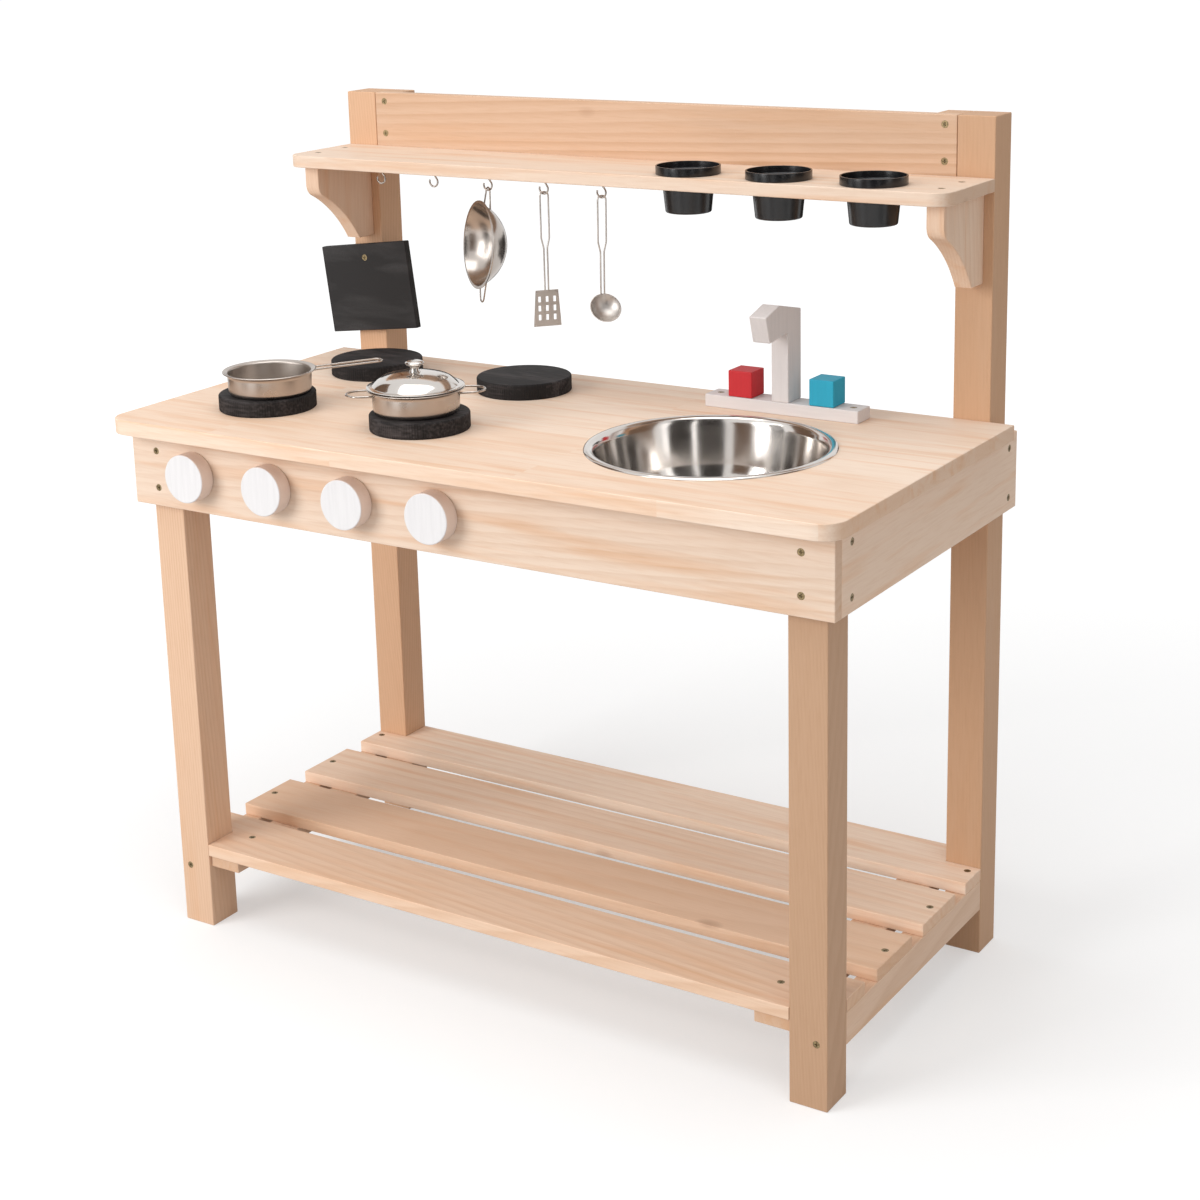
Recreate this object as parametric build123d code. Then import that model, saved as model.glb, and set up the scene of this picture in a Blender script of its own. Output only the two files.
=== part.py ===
from build123d import *

import os
from math import acos, asin, atan, atan2, cos, degrees, hypot, radians, sin, sqrt

# A wooden play kitchen, in millimetres. While it is built, X = 0 is the middle of the frame,
# Y = 0 the front faces of the front legs and Z = 0 the floor; X runs right, Y back and Z up.

# Timber frame
LEG_SIDE = 45
FRAME_LENGTH = 900
FRAME_DEPTH = 450
EDGE_EASE = 1.2
APRON_HEIGHT = 90
APRON_THICK = 15

# Worktop, and the posts' rise above it
WORKTOP_TOP = 657
POST_RISE = 343
WORKTOP_THICK = 18
WORKTOP_SIDE_OVERHANG = 14
WORKTOP_FRONT_OVERHANG = 28
WORKTOP_CORNER = 28

# Slatted shelf near the floor
SLAT_COUNT = 4
SLAT_WIDTH = 90
SLAT_THICK = 15
SLAT_TOP = 110
NOTCH_GAP = 0.5
SIDE_RAIL_THICK = 26
SIDE_RAIL_HEIGHT = 38
BATTEN_WIDTH = 44
BATTEN_THICK = 15
BATTEN_SETBACK = 4

# Top rail, top shelf and its brackets
TOP_RAIL_HEIGHT = 90
TOP_RAIL_THICK = 15
RAIL_END_GAP = 0.5
CLEAT_WIDTH = 31
SHELF_DROP = 68
SHELF_THICK = 15
SHELF_DEPTH = 130
SHELF_CORNER = 22
BRACKET_THICK = 21
BRACKET_REACH = 108
BRACKET_HEIGHT = 103
BRACKET_NOSE = 25
BRACKET_NOSE_ROUND = 16
BRACKET_SLOPE = 27
BRACKET_FOOT = 30

# Cooking side of the worktop
KNOB_COUNT = 4
KNOB_DIAMETER = 58
KNOB_THICK = 20
KNOB_INSET = 82
KNOB_PITCH = 117
KNOB_ROUND = 1.5
BURNER_DIAMETER = 116
BURNER_THICK = 19
BURNER_EASE = 2
BURNER_INSETS = (109, 336)
BURNER_Y = (90, 302)

# Sink and tap
SINK_INSET = 226
SINK_Y = 166
SINK_RIM = 280
SINK_BODY = 260
SINK_BASE = 170
SINK_DEPTH = 100
SINK_LIP = 3
SINK_WALL = 1.2
SINK_ROUND = 48
SINK_HOLE_GAP = 2
TAP_BASE_LENGTH = 198
TAP_BASE_DEPTH = 32
TAP_BASE_THICK = 15
TAP_BASE_FRONT_Y = 328
SPOUT_WIDTH = 22
SPOUT_BACK_HEIGHT = 106
SPOUT_APEX_HEIGHT = 118
SPOUT_APEX_REACH = 53
SPOUT_TIP_HEIGHT = 109
SPOUT_TIP_REACH = 85
SPOUT_LIP_HEIGHT = 78
SPOUT_LIP_REACH = 76
SPOUT_UNDERSIDE_HEIGHT = 82
SPOUT_STEM = 32
TAP_HANDLE_SIDE = 31
TAP_HANDLE_OFFSET = 52.5
TURNING_GAP = 0.3

# Chalkboard hung on the left post
BOARD_WIDTH = 140
BOARD_TOP_GAP = 12
BOARD_BOTTOM_GAP = 30
BOARD_THICK = 10
BOARD_PIVOT_DROP = 18
BOARD_TILT = 7

# Plant pots in the top shelf
POT_COUNT = 3
POT_INSET = 103
POT_PITCH = 116.5
POT_SETBACK = 40
POT_RIM = 75
POT_COLLAR = 10
POT_BODY = 62
POT_BASE = 53
POT_HEIGHT = 54
POT_WALL = 1.8
POT_ROUND = 2.5
POT_HOLE_GAP = 1.5

# Hooks under the top shelf
HOOK_COUNT = 5
HOOK_TO_POT = 109
HOOK_PITCH = 81
HOOK_SETBACK = 26
HOOK_WIRE = 2.2
HOOK_RADIUS = 6
HOOK_NECK = 5
HOOK_THREAD = 10
HOOK_OPENING_ANGLE = 160

# Steel cookware
PAN_WALL = 1
PAN_ROUND = 4
PAN_RIM_THICK = 2
HANDLE_WIRE = 2.6
SAUCEPAN_BODY = 100
SAUCEPAN_RIM = 112
SAUCEPAN_HEIGHT = 28
SAUCEPAN_HANDLE_LENGTH = 95
SAUCEPAN_HANDLE_WIDTH = 18
SAUCEPAN_HANDLE_DROP = 6
SAUCEPAN_HANDLE_ANGLE = 60
SAUCEPAN_SHIFT = 5
CASSEROLE_BODY = 101
CASSEROLE_RIM = 113
CASSEROLE_HEIGHT = 29
CASSEROLE_HANDLE_LENGTH = 30
CASSEROLE_HANDLE_WIDTH = 36
CASSEROLE_HANDLE_DROP = 6
CASSEROLE_HANDLE_ANGLE = 38
CASSEROLE_SHIFT = 4
LID_WALL = 1
LID_FLANGE = 4
LID_RISE = 17
LID_GAP = 0.3
LID_KNOB_HEIGHT = 13
LID_KNOB_HEAD = 22
LID_KNOB_NECK = 9

# Utensils on the hooks
HANG_GAP = 0.2
TWISTED_HANG_GAP = 1.2
UTENSIL_WIRE = 2
WOK_DIAMETER = 102
WOK_DEPTH = 34
WOK_WALL = 1
WOK_FLANGE = 2.5
WOK_HANDLE_LENGTH = 22
WOK_HANDLE_WIDTH = 26
WOK_HANDLE_TIP = 6.5
WOK_HANDLE_SETBACK = 9
WOK_YAW = -35
UTENSIL_LOOP_WIDTH = 12
UTENSIL_NECK_WIDTH = 4.4
UTENSIL_SHOULDER_TOP = 55
UTENSIL_SHOULDER_FOOT = 67
UTENSIL_BEND = 8
SPATULA_LENGTH = 162
SPATULA_BLADE_HEIGHT = 44
SPATULA_BLADE_TOP_WIDTH = 28
SPATULA_BLADE_WIDTH = 34
SPATULA_BLADE_THICK = 1.2
SPATULA_SLOTS = 3
SPATULA_SLOT_WIDTH = 3.4
SPATULA_SLOT_HEIGHT = 7
SPATULA_YAW = 48
LADLE_LENGTH = 146
LADLE_BOWL = 38
LADLE_BOWL_DEPTH = 13
LADLE_WALL = 1
LADLE_TILT = 40
LADLE_YAW = 48

# Wood screws with a cross recess
SCREW_HEAD = 8.4
SCREW_HEAD_HEIGHT = 3
SCREW_SHANK = 4
SCREW_SUNK = 0.3
SCREW_GAP = 0.1
SCREW_RECESS_WIDTH = 1.1
SCREW_RECESS_LENGTH = 4.6
SCREW_RECESS_DEPTH = 1.4
APRON_SCREW = 35
APRON_SCREW_SPREAD = 45
SIDE_APRON_SCREW_SPREAD = 58
SIDE_RAIL_SCREW = 75
SLAT_RAIL_SCREW = 28
SLAT_BATTEN_SCREW = 27
SLAT_SCREW_INSET = 12
BATTEN_SCREW_INSET = 11
TOP_RAIL_SCREW = 30
TOP_RAIL_SCREW_INSET = 15
TOP_RAIL_SCREW_DROPS = (11, 52)
SHELF_SCREW = 40
SHELF_SCREW_SETBACKS = (38, 92)
TAP_BASE_SCREW = 28
TAP_BASE_SCREW_INSET = 13
KNOB_SCREW_BITE = 14
TAP_HANDLE_SCREW_BITE = 18
BOARD_SCREW_BITE = 25

# Places worked out from the sizes above
POST_HEIGHT = WORKTOP_TOP + POST_RISE
FRAME_RIGHT = FRAME_LENGTH / 2
LEG_INNER = FRAME_RIGHT - LEG_SIDE
LEG_CENTRE = FRAME_RIGHT - LEG_SIDE / 2
POST_FRONT = FRAME_DEPTH - LEG_SIDE
POST_CENTRE_Y = FRAME_DEPTH - LEG_SIDE / 2
APRON_TOP = WORKTOP_TOP - WORKTOP_THICK
APRON_BOTTOM = APRON_TOP - APRON_HEIGHT
APRON_MIDDLE = APRON_TOP - APRON_HEIGHT / 2
APRON_RIGHT = FRAME_RIGHT + APRON_THICK
WORKTOP_RIGHT = APRON_RIGHT + WORKTOP_SIDE_OVERHANG
WORKTOP_FRONT = -APRON_THICK - WORKTOP_FRONT_OVERHANG
SLAT_BOTTOM = SLAT_TOP - SLAT_THICK
SLAT_PITCH = (FRAME_DEPTH - SLAT_WIDTH) / (SLAT_COUNT - 1)
SIDE_RAIL_CENTRE = FRAME_RIGHT - SIDE_RAIL_THICK / 2
SIDE_RAIL_MIDDLE = SLAT_BOTTOM - SIDE_RAIL_HEIGHT / 2
SHELF_TOP = POST_HEIGHT - SHELF_DROP
SHELF_BOTTOM = SHELF_TOP - SHELF_THICK
SHELF_FRONT = POST_FRONT - SHELF_DEPTH
BURNER_TOP = WORKTOP_TOP + BURNER_THICK
BURNER_X = [inset - FRAME_RIGHT for inset in BURNER_INSETS]
SINK_X = FRAME_RIGHT - SINK_INSET
POT_Y = SHELF_FRONT + POT_SETBACK
HOOK_Y = SHELF_FRONT + HOOK_SETBACK
SAUCEPAN_AT = (BURNER_X[0] + SAUCEPAN_SHIFT, BURNER_Y[0], BURNER_TOP)
CASSEROLE_AT = (BURNER_X[1] - CASSEROLE_SHIFT, BURNER_Y[0], BURNER_TOP)
LID_SEAT = BURNER_TOP + CASSEROLE_HEIGHT + LID_GAP
TAP_BASE_TOP = WORKTOP_TOP + TAP_BASE_THICK
TAP_BASE_MIDDLE_Y = TAP_BASE_FRONT_Y + TAP_BASE_DEPTH / 2
SPOUT_BACK_Y = TAP_BASE_MIDDLE_Y + SPOUT_STEM / 2
KNOB_BACK_Y = -APRON_THICK - TURNING_GAP
BRACKET_BOTTOM = SHELF_BOTTOM - BRACKET_HEIGHT
BOARD_HEIGHT = BRACKET_BOTTOM - WORKTOP_TOP - BOARD_TOP_GAP - BOARD_BOTTOM_GAP
BOARD_PIVOT_HEIGHT = BRACKET_BOTTOM - BOARD_TOP_GAP - BOARD_PIVOT_DROP
BOARD_BACK_Y = POST_FRONT - TURNING_GAP
BOARD_FRONT_Y = BOARD_BACK_Y - BOARD_THICK
HOOK_BEND_HEIGHT = SHELF_BOTTOM - HOOK_NECK - HOOK_RADIUS
HOOK_BOTTOM = HOOK_BEND_HEIGHT - HOOK_RADIUS
LOOP_RISE = (HOOK_WIRE + UTENSIL_WIRE) / 2 + HANG_GAP
WOK_LOOP_RISE = (HOOK_WIRE + UTENSIL_WIRE) / 2 + TWISTED_HANG_GAP

KNOB_X = [KNOB_INSET - FRAME_RIGHT + KNOB_PITCH * number for number in range(KNOB_COUNT)]
POT_X = [FRAME_RIGHT - POT_INSET - POT_PITCH * number for number in reversed(range(POT_COUNT))]
HOOK_X = [POT_X[0] - HOOK_TO_POT - HOOK_PITCH * number for number in reversed(range(HOOK_COUNT))]
WOK_X, SPATULA_X, LADLE_X = HOOK_X[-3:]
TAP_HANDLE_X = {"red": SINK_X - TAP_HANDLE_OFFSET, "blue": SINK_X + TAP_HANDLE_OFFSET}

FRONT = (0, -1, 0)
BACK = (0, 1, 0)
UP = (0, 0, 1)
DOWN = (0, 0, -1)

MATCH = 0.001

nodes = {}


def board(x_min, x_max, y_min, y_max, z_min, z_max):
    """A planed board between the given faces, with eased edges."""
    blank = Box(x_max - x_min, y_max - y_min, z_max - z_min, align=(Align.MIN, Align.MIN, Align.MIN))
    return Pos(x_min, y_min, z_min) * fillet(blank.edges(), EDGE_EASE)


def rounded_panel(x_half, y_min, y_max, z_min, z_max, corner):
    """A panel with its two front corners rounded and all its edges eased."""
    blank = Box(2 * x_half, y_max - y_min, z_max - z_min, align=(Align.CENTER, Align.MIN, Align.MIN))
    front_corners = blank.edges().filter_by(Axis.Z).sort_by(Axis.Y)[:2]
    panel = fillet(front_corners, corner)
    rims = panel.faces().sort_by(Axis.Z)[-1].edges() + panel.faces().sort_by(Axis.Z)[0].edges()
    return Pos(0, y_min, z_min) * fillet(rims, EDGE_EASE)


def turned(*outline):
    """A solid turned about Z from a closed outline of (radius, height) points."""
    section = make_face(Polyline(*[(radius, 0, height) for radius, height in outline], close=True))
    return revolve(section, Axis.Z)


def corner_circles(solid, height, radius):
    """The circular edges of a turned solid at a height and a radius."""
    circles = solid.edges().filter_by(GeomType.CIRCLE)
    return [e for e in circles if abs(e.center().Z - height) < MATCH and abs(e.radius - radius) < MATCH]


def vessel(body, base, rim, rim_thick, height, wall, rounding):
    """An open round vessel on Z = 0, of outer diameters body and base, with a flange at its mouth."""
    shell = turned(
        (0, 0),
        (base / 2, 0),
        (body / 2, height - rim_thick),
        (rim / 2, height - rim_thick),
        (rim / 2, height),
        (body / 2 - wall, height),
        (base / 2 - wall, wall),
        (0, wall),
    )
    shell = fillet(corner_circles(shell, 0, base / 2), rounding)
    return fillet(corner_circles(shell, wall, base / 2 - wall), rounding - wall)


def wire(path, diameter):
    """A round wire along a path."""
    return sweep(Plane(origin=path @ 0, z_dir=path % 0) * Circle(diameter / 2), path)


def screw(length):
    """A countersunk screw along -Z, its head just below Z = 0."""
    head = turned(
        (0, -SCREW_SUNK),
        (SCREW_HEAD / 2, -SCREW_SUNK),
        (SCREW_SHANK / 2, -SCREW_SUNK - SCREW_HEAD_HEIGHT),
        (SCREW_SHANK / 2, -length),
        (0, -length),
    )
    slot = Pos(0, 0, -SCREW_SUNK) * Box(SCREW_RECESS_LENGTH, SCREW_RECESS_WIDTH, 2 * SCREW_RECESS_DEPTH)
    return head - slot - Rot(0, 0, 90) * slot


def screw_hole(length):
    """The hole that such a screw sits in."""
    return turned(
        (0, SCREW_HEAD),
        (SCREW_HEAD / 2 + SCREW_GAP, SCREW_HEAD),
        (SCREW_HEAD / 2 + SCREW_GAP, -SCREW_SUNK),
        (SCREW_SHANK / 2 + SCREW_GAP, -SCREW_SUNK - SCREW_HEAD_HEIGHT),
        (SCREW_SHANK / 2 + SCREW_GAP, -length - SCREW_GAP),
        (0, -length - SCREW_GAP),
    )


def drive(point, outward, length, *names):
    """Drill the named pieces for a screw whose head lies at a point, and return the screw."""
    place = Plane(origin=point, z_dir=outward)
    for name in names:
        nodes[name] = nodes[name] - place * screw_hole(length)
    return place * screw(length)


def make_frame():
    """Legs, posts and aprons."""
    for side, sign in (("left", -1), ("right", 1)):
        x_min, x_max = sorted((sign * LEG_INNER, sign * FRAME_RIGHT))
        nodes[f"front_{side}_leg"] = board(x_min, x_max, 0, LEG_SIDE, 0, APRON_TOP)
        nodes[f"back_{side}_post"] = board(x_min, x_max, POST_FRONT, FRAME_DEPTH, 0, POST_HEIGHT)
        x_min, x_max = sorted((sign * FRAME_RIGHT, sign * APRON_RIGHT))
        nodes[f"{side}_apron"] = board(x_min, x_max, 0, FRAME_DEPTH, APRON_BOTTOM, APRON_TOP)
    nodes["front_apron"] = board(-APRON_RIGHT, APRON_RIGHT, -APRON_THICK, 0, APRON_BOTTOM, APRON_TOP)
    nodes["back_apron"] = board(
        -FRAME_RIGHT, FRAME_RIGHT, POST_FRONT - APRON_THICK, POST_FRONT, APRON_BOTTOM, APRON_TOP
    )


def make_worktop():
    """The worktop with its sink hole, and the four burner discs on it."""
    panel = rounded_panel(
        WORKTOP_RIGHT, WORKTOP_FRONT, POST_FRONT, APRON_TOP, WORKTOP_TOP, WORKTOP_CORNER
    )
    hole = Pos(SINK_X, SINK_Y, WORKTOP_TOP) * Cylinder(SINK_BODY / 2 + SINK_HOLE_GAP, 4 * WORKTOP_THICK)
    nodes["worktop"] = panel - hole
    disc = Cylinder(BURNER_DIAMETER / 2, BURNER_THICK, align=(Align.CENTER, Align.CENTER, Align.MIN))
    disc = fillet(disc.edges().filter_by(GeomType.CIRCLE), BURNER_EASE)
    for row, y in zip(("front", "back"), BURNER_Y):
        for side, x in zip(("left", "right"), BURNER_X):
            nodes[f"{row}_{side}_burner"] = Pos(x, y, WORKTOP_TOP) * disc


def make_slatted_shelf():
    """Side rails, battens and the slats that lie on them, notched round the legs and posts."""
    for side, sign in (("left", -1), ("right", 1)):
        x_min, x_max = sorted((sign * (FRAME_RIGHT - SIDE_RAIL_THICK), sign * FRAME_RIGHT))
        nodes[f"{side}_side_rail"] = board(
            x_min, x_max, LEG_SIDE, POST_FRONT, SLAT_BOTTOM - SIDE_RAIL_HEIGHT, SLAT_BOTTOM
        )
        x_min, x_max = sorted((sign * (LEG_INNER - BATTEN_WIDTH), sign * LEG_INNER))
        nodes[f"{side}_slat_batten"] = board(
            x_min,
            x_max,
            BATTEN_SETBACK,
            FRAME_DEPTH - BATTEN_SETBACK,
            SLAT_BOTTOM - BATTEN_THICK,
            SLAT_BOTTOM,
        )
    notch = Box(2 * (LEG_SIDE + NOTCH_GAP), 2 * (LEG_SIDE + NOTCH_GAP), POST_HEIGHT)
    notches = [
        Pos(x, y, SLAT_TOP) * notch for x in (-FRAME_RIGHT, FRAME_RIGHT) for y in (0, FRAME_DEPTH)
    ]
    for number in range(SLAT_COUNT):
        y_min = number * SLAT_PITCH
        slat = board(-FRAME_RIGHT, FRAME_RIGHT, y_min, y_min + SLAT_WIDTH, SLAT_BOTTOM, SLAT_TOP)
        nodes[f"shelf_slat_{number + 1}"] = slat - notches


def bracket():
    """A shelf bracket with a rounded nose and a hollow front, its back and top at the origin."""
    slope = radians(BRACKET_SLOPE)
    nose = (-BRACKET_REACH, -BRACKET_NOSE)
    chin = (nose[0] + BRACKET_NOSE_ROUND * (1 - sin(slope)), nose[1] - BRACKET_NOSE_ROUND * cos(slope))
    toe = (-BRACKET_FOOT, -BRACKET_HEIGHT)
    run = toe[0] - chin[0]
    fall = chin[1] - toe[1]
    # The hollow leaves the nose at its slope and grows steeper down to the toe.
    hollow = hypot(run, fall) / (2 * sin(atan2(fall, run) - slope))
    lines = [
        Polyline(toe, (0, -BRACKET_HEIGHT), (0, 0), (-BRACKET_REACH, 0), nose),
        RadiusArc(nose, chin, -BRACKET_NOSE_ROUND),
        RadiusArc(chin, toe, hollow),
    ]
    blank = extrude(Plane.YZ * make_face(lines), BRACKET_THICK / 2, both=True)
    sides = blank.faces().filter_by(Axis.X)
    return fillet(sides[0].edges() + sides[1].edges(), EDGE_EASE)


def make_top_shelf():
    """The top rail with its cleats, the shelf and its brackets."""
    rail_half = LEG_INNER - RAIL_END_GAP
    rail_back = POST_FRONT + TOP_RAIL_THICK
    rail_bottom = POST_HEIGHT - TOP_RAIL_HEIGHT
    nodes["top_rail"] = board(-rail_half, rail_half, POST_FRONT, rail_back, rail_bottom, POST_HEIGHT)
    cleats = []
    for x_min in (-LEG_INNER, LEG_INNER - CLEAT_WIDTH):
        cleats.append(board(x_min, x_min + CLEAT_WIDTH, rail_back, FRAME_DEPTH, rail_bottom, POST_HEIGHT))
    nodes["top_rail_cleats"] = Compound(cleats)
    shelf = rounded_panel(FRAME_RIGHT, SHELF_FRONT, POST_FRONT, SHELF_BOTTOM, SHELF_TOP, SHELF_CORNER)
    pot_hole = Cylinder(POT_BODY / 2 + POT_HOLE_GAP, 4 * SHELF_THICK)
    hook_hole = Cylinder(HOOK_WIRE / 2 + SCREW_GAP, 2 * (HOOK_THREAD + SCREW_GAP))
    shelf -= [Pos(x, POT_Y, SHELF_TOP) * pot_hole for x in POT_X]
    shelf -= [Pos(x, HOOK_Y, SHELF_BOTTOM) * hook_hole for x in HOOK_X]
    nodes["top_shelf"] = shelf
    for side, sign in (("left", -1), ("right", 1)):
        nodes[f"{side}_bracket"] = Pos(sign * LEG_CENTRE, POST_FRONT, SHELF_BOTTOM) * bracket()


def make_hooks():
    """Wire hooks screwed into the underside of the top shelf, open to the left."""
    root = HOOK_RADIUS + HOOK_NECK - HOOK_WIRE / 2
    bend_angle = asin(HOOK_RADIUS / root)
    tip_angle = radians(HOOK_OPENING_ANGLE)
    bend = (HOOK_RADIUS * cos(bend_angle), 0, HOOK_RADIUS * sin(bend_angle))
    tip = (HOOK_RADIUS * cos(tip_angle), 0, HOOK_RADIUS * sin(tip_angle))
    path = Wire([Line((0, 0, root), bend), ThreePointArc(bend, (0, 0, -HOOK_RADIUS), tip)])
    thread = Pos(0, 0, root) * Cylinder(
        HOOK_WIRE / 2, HOOK_THREAD + HOOK_WIRE / 2, align=(Align.CENTER, Align.CENTER, Align.MIN)
    )
    hook = wire(path, HOOK_WIRE) + thread + Pos(0, 0, root) * Sphere(HOOK_WIRE / 2)
    nodes["utensil_hooks"] = Compound([Pos(x, HOOK_Y, HOOK_BEND_HEIGHT) * hook for x in HOOK_X])


def make_tap():
    """The tap's base, its spout, and the two block handles that turn on screws from below."""
    half = TAP_BASE_LENGTH / 2
    base_back = TAP_BASE_FRONT_Y + TAP_BASE_DEPTH
    nodes["tap_base"] = board(
        SINK_X - half, SINK_X + half, TAP_BASE_FRONT_Y, base_back, WORKTOP_TOP, TAP_BASE_TOP
    )
    outline = Polyline(
        (0, 0),
        (0, SPOUT_BACK_HEIGHT),
        (-SPOUT_APEX_REACH, SPOUT_APEX_HEIGHT),
        (-SPOUT_TIP_REACH, SPOUT_TIP_HEIGHT),
        (-SPOUT_LIP_REACH, SPOUT_LIP_HEIGHT),
        (-SPOUT_STEM, SPOUT_UNDERSIDE_HEIGHT),
        (-SPOUT_STEM, 0),
        close=True,
    )
    blank = extrude(Plane.YZ * make_face(outline), SPOUT_WIDTH / 2, both=True)
    nodes["tap_spout"] = Pos(SINK_X, SPOUT_BACK_Y, TAP_BASE_TOP) * fillet(blank.edges(), EDGE_EASE)
    half = TAP_HANDLE_SIDE / 2
    front = TAP_BASE_MIDDLE_Y - half
    foot = TAP_BASE_TOP + TURNING_GAP
    for colour, x in TAP_HANDLE_X.items():
        nodes[f"{colour}_tap_handle"] = board(
            x - half, x + half, front, front + TAP_HANDLE_SIDE, foot, foot + TAP_HANDLE_SIDE
        )


def make_chalkboard():
    """The board on the left post, turned a little about the screw that it hangs on."""
    blank = Box(BOARD_WIDTH, BOARD_THICK, BOARD_HEIGHT, align=(Align.CENTER, Align.MIN, Align.MAX))
    slab = Pos(0, 0, BOARD_PIVOT_DROP) * fillet(blank.edges(), EDGE_EASE)
    nodes["chalkboard"] = Pos(-LEG_CENTRE, BOARD_FRONT_Y, BOARD_PIVOT_HEIGHT) * Rot(0, -BOARD_TILT, 0) * slab


def make_knobs():
    """Four round knobs on the front apron."""
    disc = Cylinder(KNOB_DIAMETER / 2, KNOB_THICK, align=(Align.CENTER, Align.CENTER, Align.MIN))
    disc = fillet(disc.edges().filter_by(GeomType.CIRCLE), KNOB_ROUND)
    for number, x in enumerate(KNOB_X, 1):
        nodes[f"knob_{number}"] = Plane(origin=(x, KNOB_BACK_Y, APRON_MIDDLE), z_dir=FRONT) * disc


def make_pots_and_sink():
    """Plastic pots hung by their collars in the top shelf, and the steel sink bowl in the worktop."""
    pot = vessel(POT_BODY, POT_BASE, POT_RIM, POT_COLLAR, POT_HEIGHT, POT_WALL, POT_ROUND)
    for number, x in enumerate(POT_X, 1):
        nodes[f"plant_pot_{number}"] = Pos(x, POT_Y, SHELF_TOP + POT_COLLAR - POT_HEIGHT) * pot
    bowl = vessel(SINK_BODY, SINK_BASE, SINK_RIM, SINK_LIP, SINK_DEPTH, SINK_WALL, SINK_ROUND)
    nodes["sink_bowl"] = Pos(SINK_X, SINK_Y, WORKTOP_TOP + SINK_LIP - SINK_DEPTH) * bowl


def wire_loop(root, length, width, diameter, tip=None):
    """A loop of wire along +X in the XY plane, from a root distance to a rounded end.

    Its sides are parallel, or lean together to an end with a given tip radius.
    """
    half = (width - diameter) / 2
    tip = tip or half
    centre = root + length - diameter / 2 - tip
    lean = atan2(half, root - centre) - acos(tip / hypot(root - centre, half))
    x, y = centre + tip * cos(lean), tip * sin(lean)
    path = Wire([
        Line((root, -half, 0), (x, -y, 0)),
        ThreePointArc((x, -y, 0), (centre + tip, 0, 0), (x, y, 0)),
        Line((x, y, 0), (root, half, 0)),
    ])
    return wire(path, diameter)


def make_pans():
    """The saucepan and the casserole, with their wire handles, on the front burners."""
    pan = vessel(
        SAUCEPAN_BODY, SAUCEPAN_BODY, SAUCEPAN_RIM, PAN_RIM_THICK, SAUCEPAN_HEIGHT, PAN_WALL, PAN_ROUND
    )
    nodes["saucepan"] = Pos(*SAUCEPAN_AT) * pan
    core = Cylinder(SAUCEPAN_BODY / 2, 2 * SAUCEPAN_HEIGHT)
    length = SAUCEPAN_HANDLE_LENGTH + PAN_ROUND
    loop = wire_loop(SAUCEPAN_BODY / 2 - PAN_ROUND, length, SAUCEPAN_HANDLE_WIDTH, HANDLE_WIRE) - core
    height = SAUCEPAN_HEIGHT - SAUCEPAN_HANDLE_DROP
    nodes["saucepan_handle"] = (
        Pos(*SAUCEPAN_AT) * Pos(0, 0, height) * Rot(0, 0, SAUCEPAN_HANDLE_ANGLE) * loop
    )
    pan = vessel(
        CASSEROLE_BODY, CASSEROLE_BODY, CASSEROLE_RIM, PAN_RIM_THICK, CASSEROLE_HEIGHT, PAN_WALL, PAN_ROUND
    )
    nodes["casserole"] = Pos(*CASSEROLE_AT) * pan
    core = Cylinder(CASSEROLE_BODY / 2, 2 * CASSEROLE_HEIGHT)
    length = CASSEROLE_HANDLE_LENGTH + PAN_ROUND
    loop = wire_loop(CASSEROLE_BODY / 2 - PAN_ROUND, length, CASSEROLE_HANDLE_WIDTH, HANDLE_WIRE) - core
    height = CASSEROLE_HEIGHT - CASSEROLE_HANDLE_DROP
    nodes["casserole_handles"] = Compound([
        Pos(*CASSEROLE_AT) * Pos(0, 0, height) * Rot(0, 0, CASSEROLE_HANDLE_ANGLE + turn) * loop
        for turn in (0, 180)
    ])


def make_lid():
    """The casserole's domed lid, a shell on a flat flange, and the knob on its crown."""
    mouth = CASSEROLE_RIM / 2 - LID_FLANGE
    dome = (mouth**2 + LID_RISE**2) / (2 * LID_RISE)
    cap = Pos(0, 0, LID_RISE - dome) * (Sphere(dome) - Sphere(dome - LID_WALL))
    cap &= Cylinder(mouth, dome, align=(Align.CENTER, Align.CENTER, Align.MIN))
    hole = Cylinder(mouth - 2 * LID_WALL, 3 * LID_WALL)
    flange = Cylinder(CASSEROLE_RIM / 2, LID_WALL, align=(Align.CENTER, Align.CENTER, Align.MIN)) - hole
    place = Pos(CASSEROLE_AT[0], CASSEROLE_AT[1], LID_SEAT)
    knob = turned(
        (0, 0),
        (LID_KNOB_NECK / 2, 0),
        (LID_KNOB_NECK / 2, LID_KNOB_HEIGHT / 2),
        (LID_KNOB_HEAD / 2, LID_KNOB_HEIGHT * 3 / 4),
        (LID_KNOB_HEAD / 2, LID_KNOB_HEIGHT - EDGE_EASE),
        (LID_KNOB_HEAD / 2 - EDGE_EASE, LID_KNOB_HEIGHT),
        (0, LID_KNOB_HEIGHT),
    )
    nodes["casserole_lid"] = place * (cap + flange)
    nodes["lid_knob"] = place * (Pos(0, 0, LID_RISE) * knob)


def hung(pieces, hook_x, yaw):
    """Turn pieces about the hook's wire so that their weight lies below it, and hang them there.

    They come with the hook's wire at the origin and the plane of their loop at Y = 0.
    """
    solids = [solid for piece in pieces for solid in piece.solids()]
    weight = sum(solid.volume for solid in solids)
    y = sum(solid.volume * solid.center(CenterOf.MASS).Y for solid in solids) / weight
    z = sum(solid.volume * solid.center(CenterOf.MASS).Z for solid in solids) / weight
    place = Pos(hook_x, HOOK_Y, HOOK_BOTTOM) * Rot(0, 0, yaw) * Rot(degrees(atan(y / z)), 0, 0)
    return [place * piece for piece in pieces]


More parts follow.
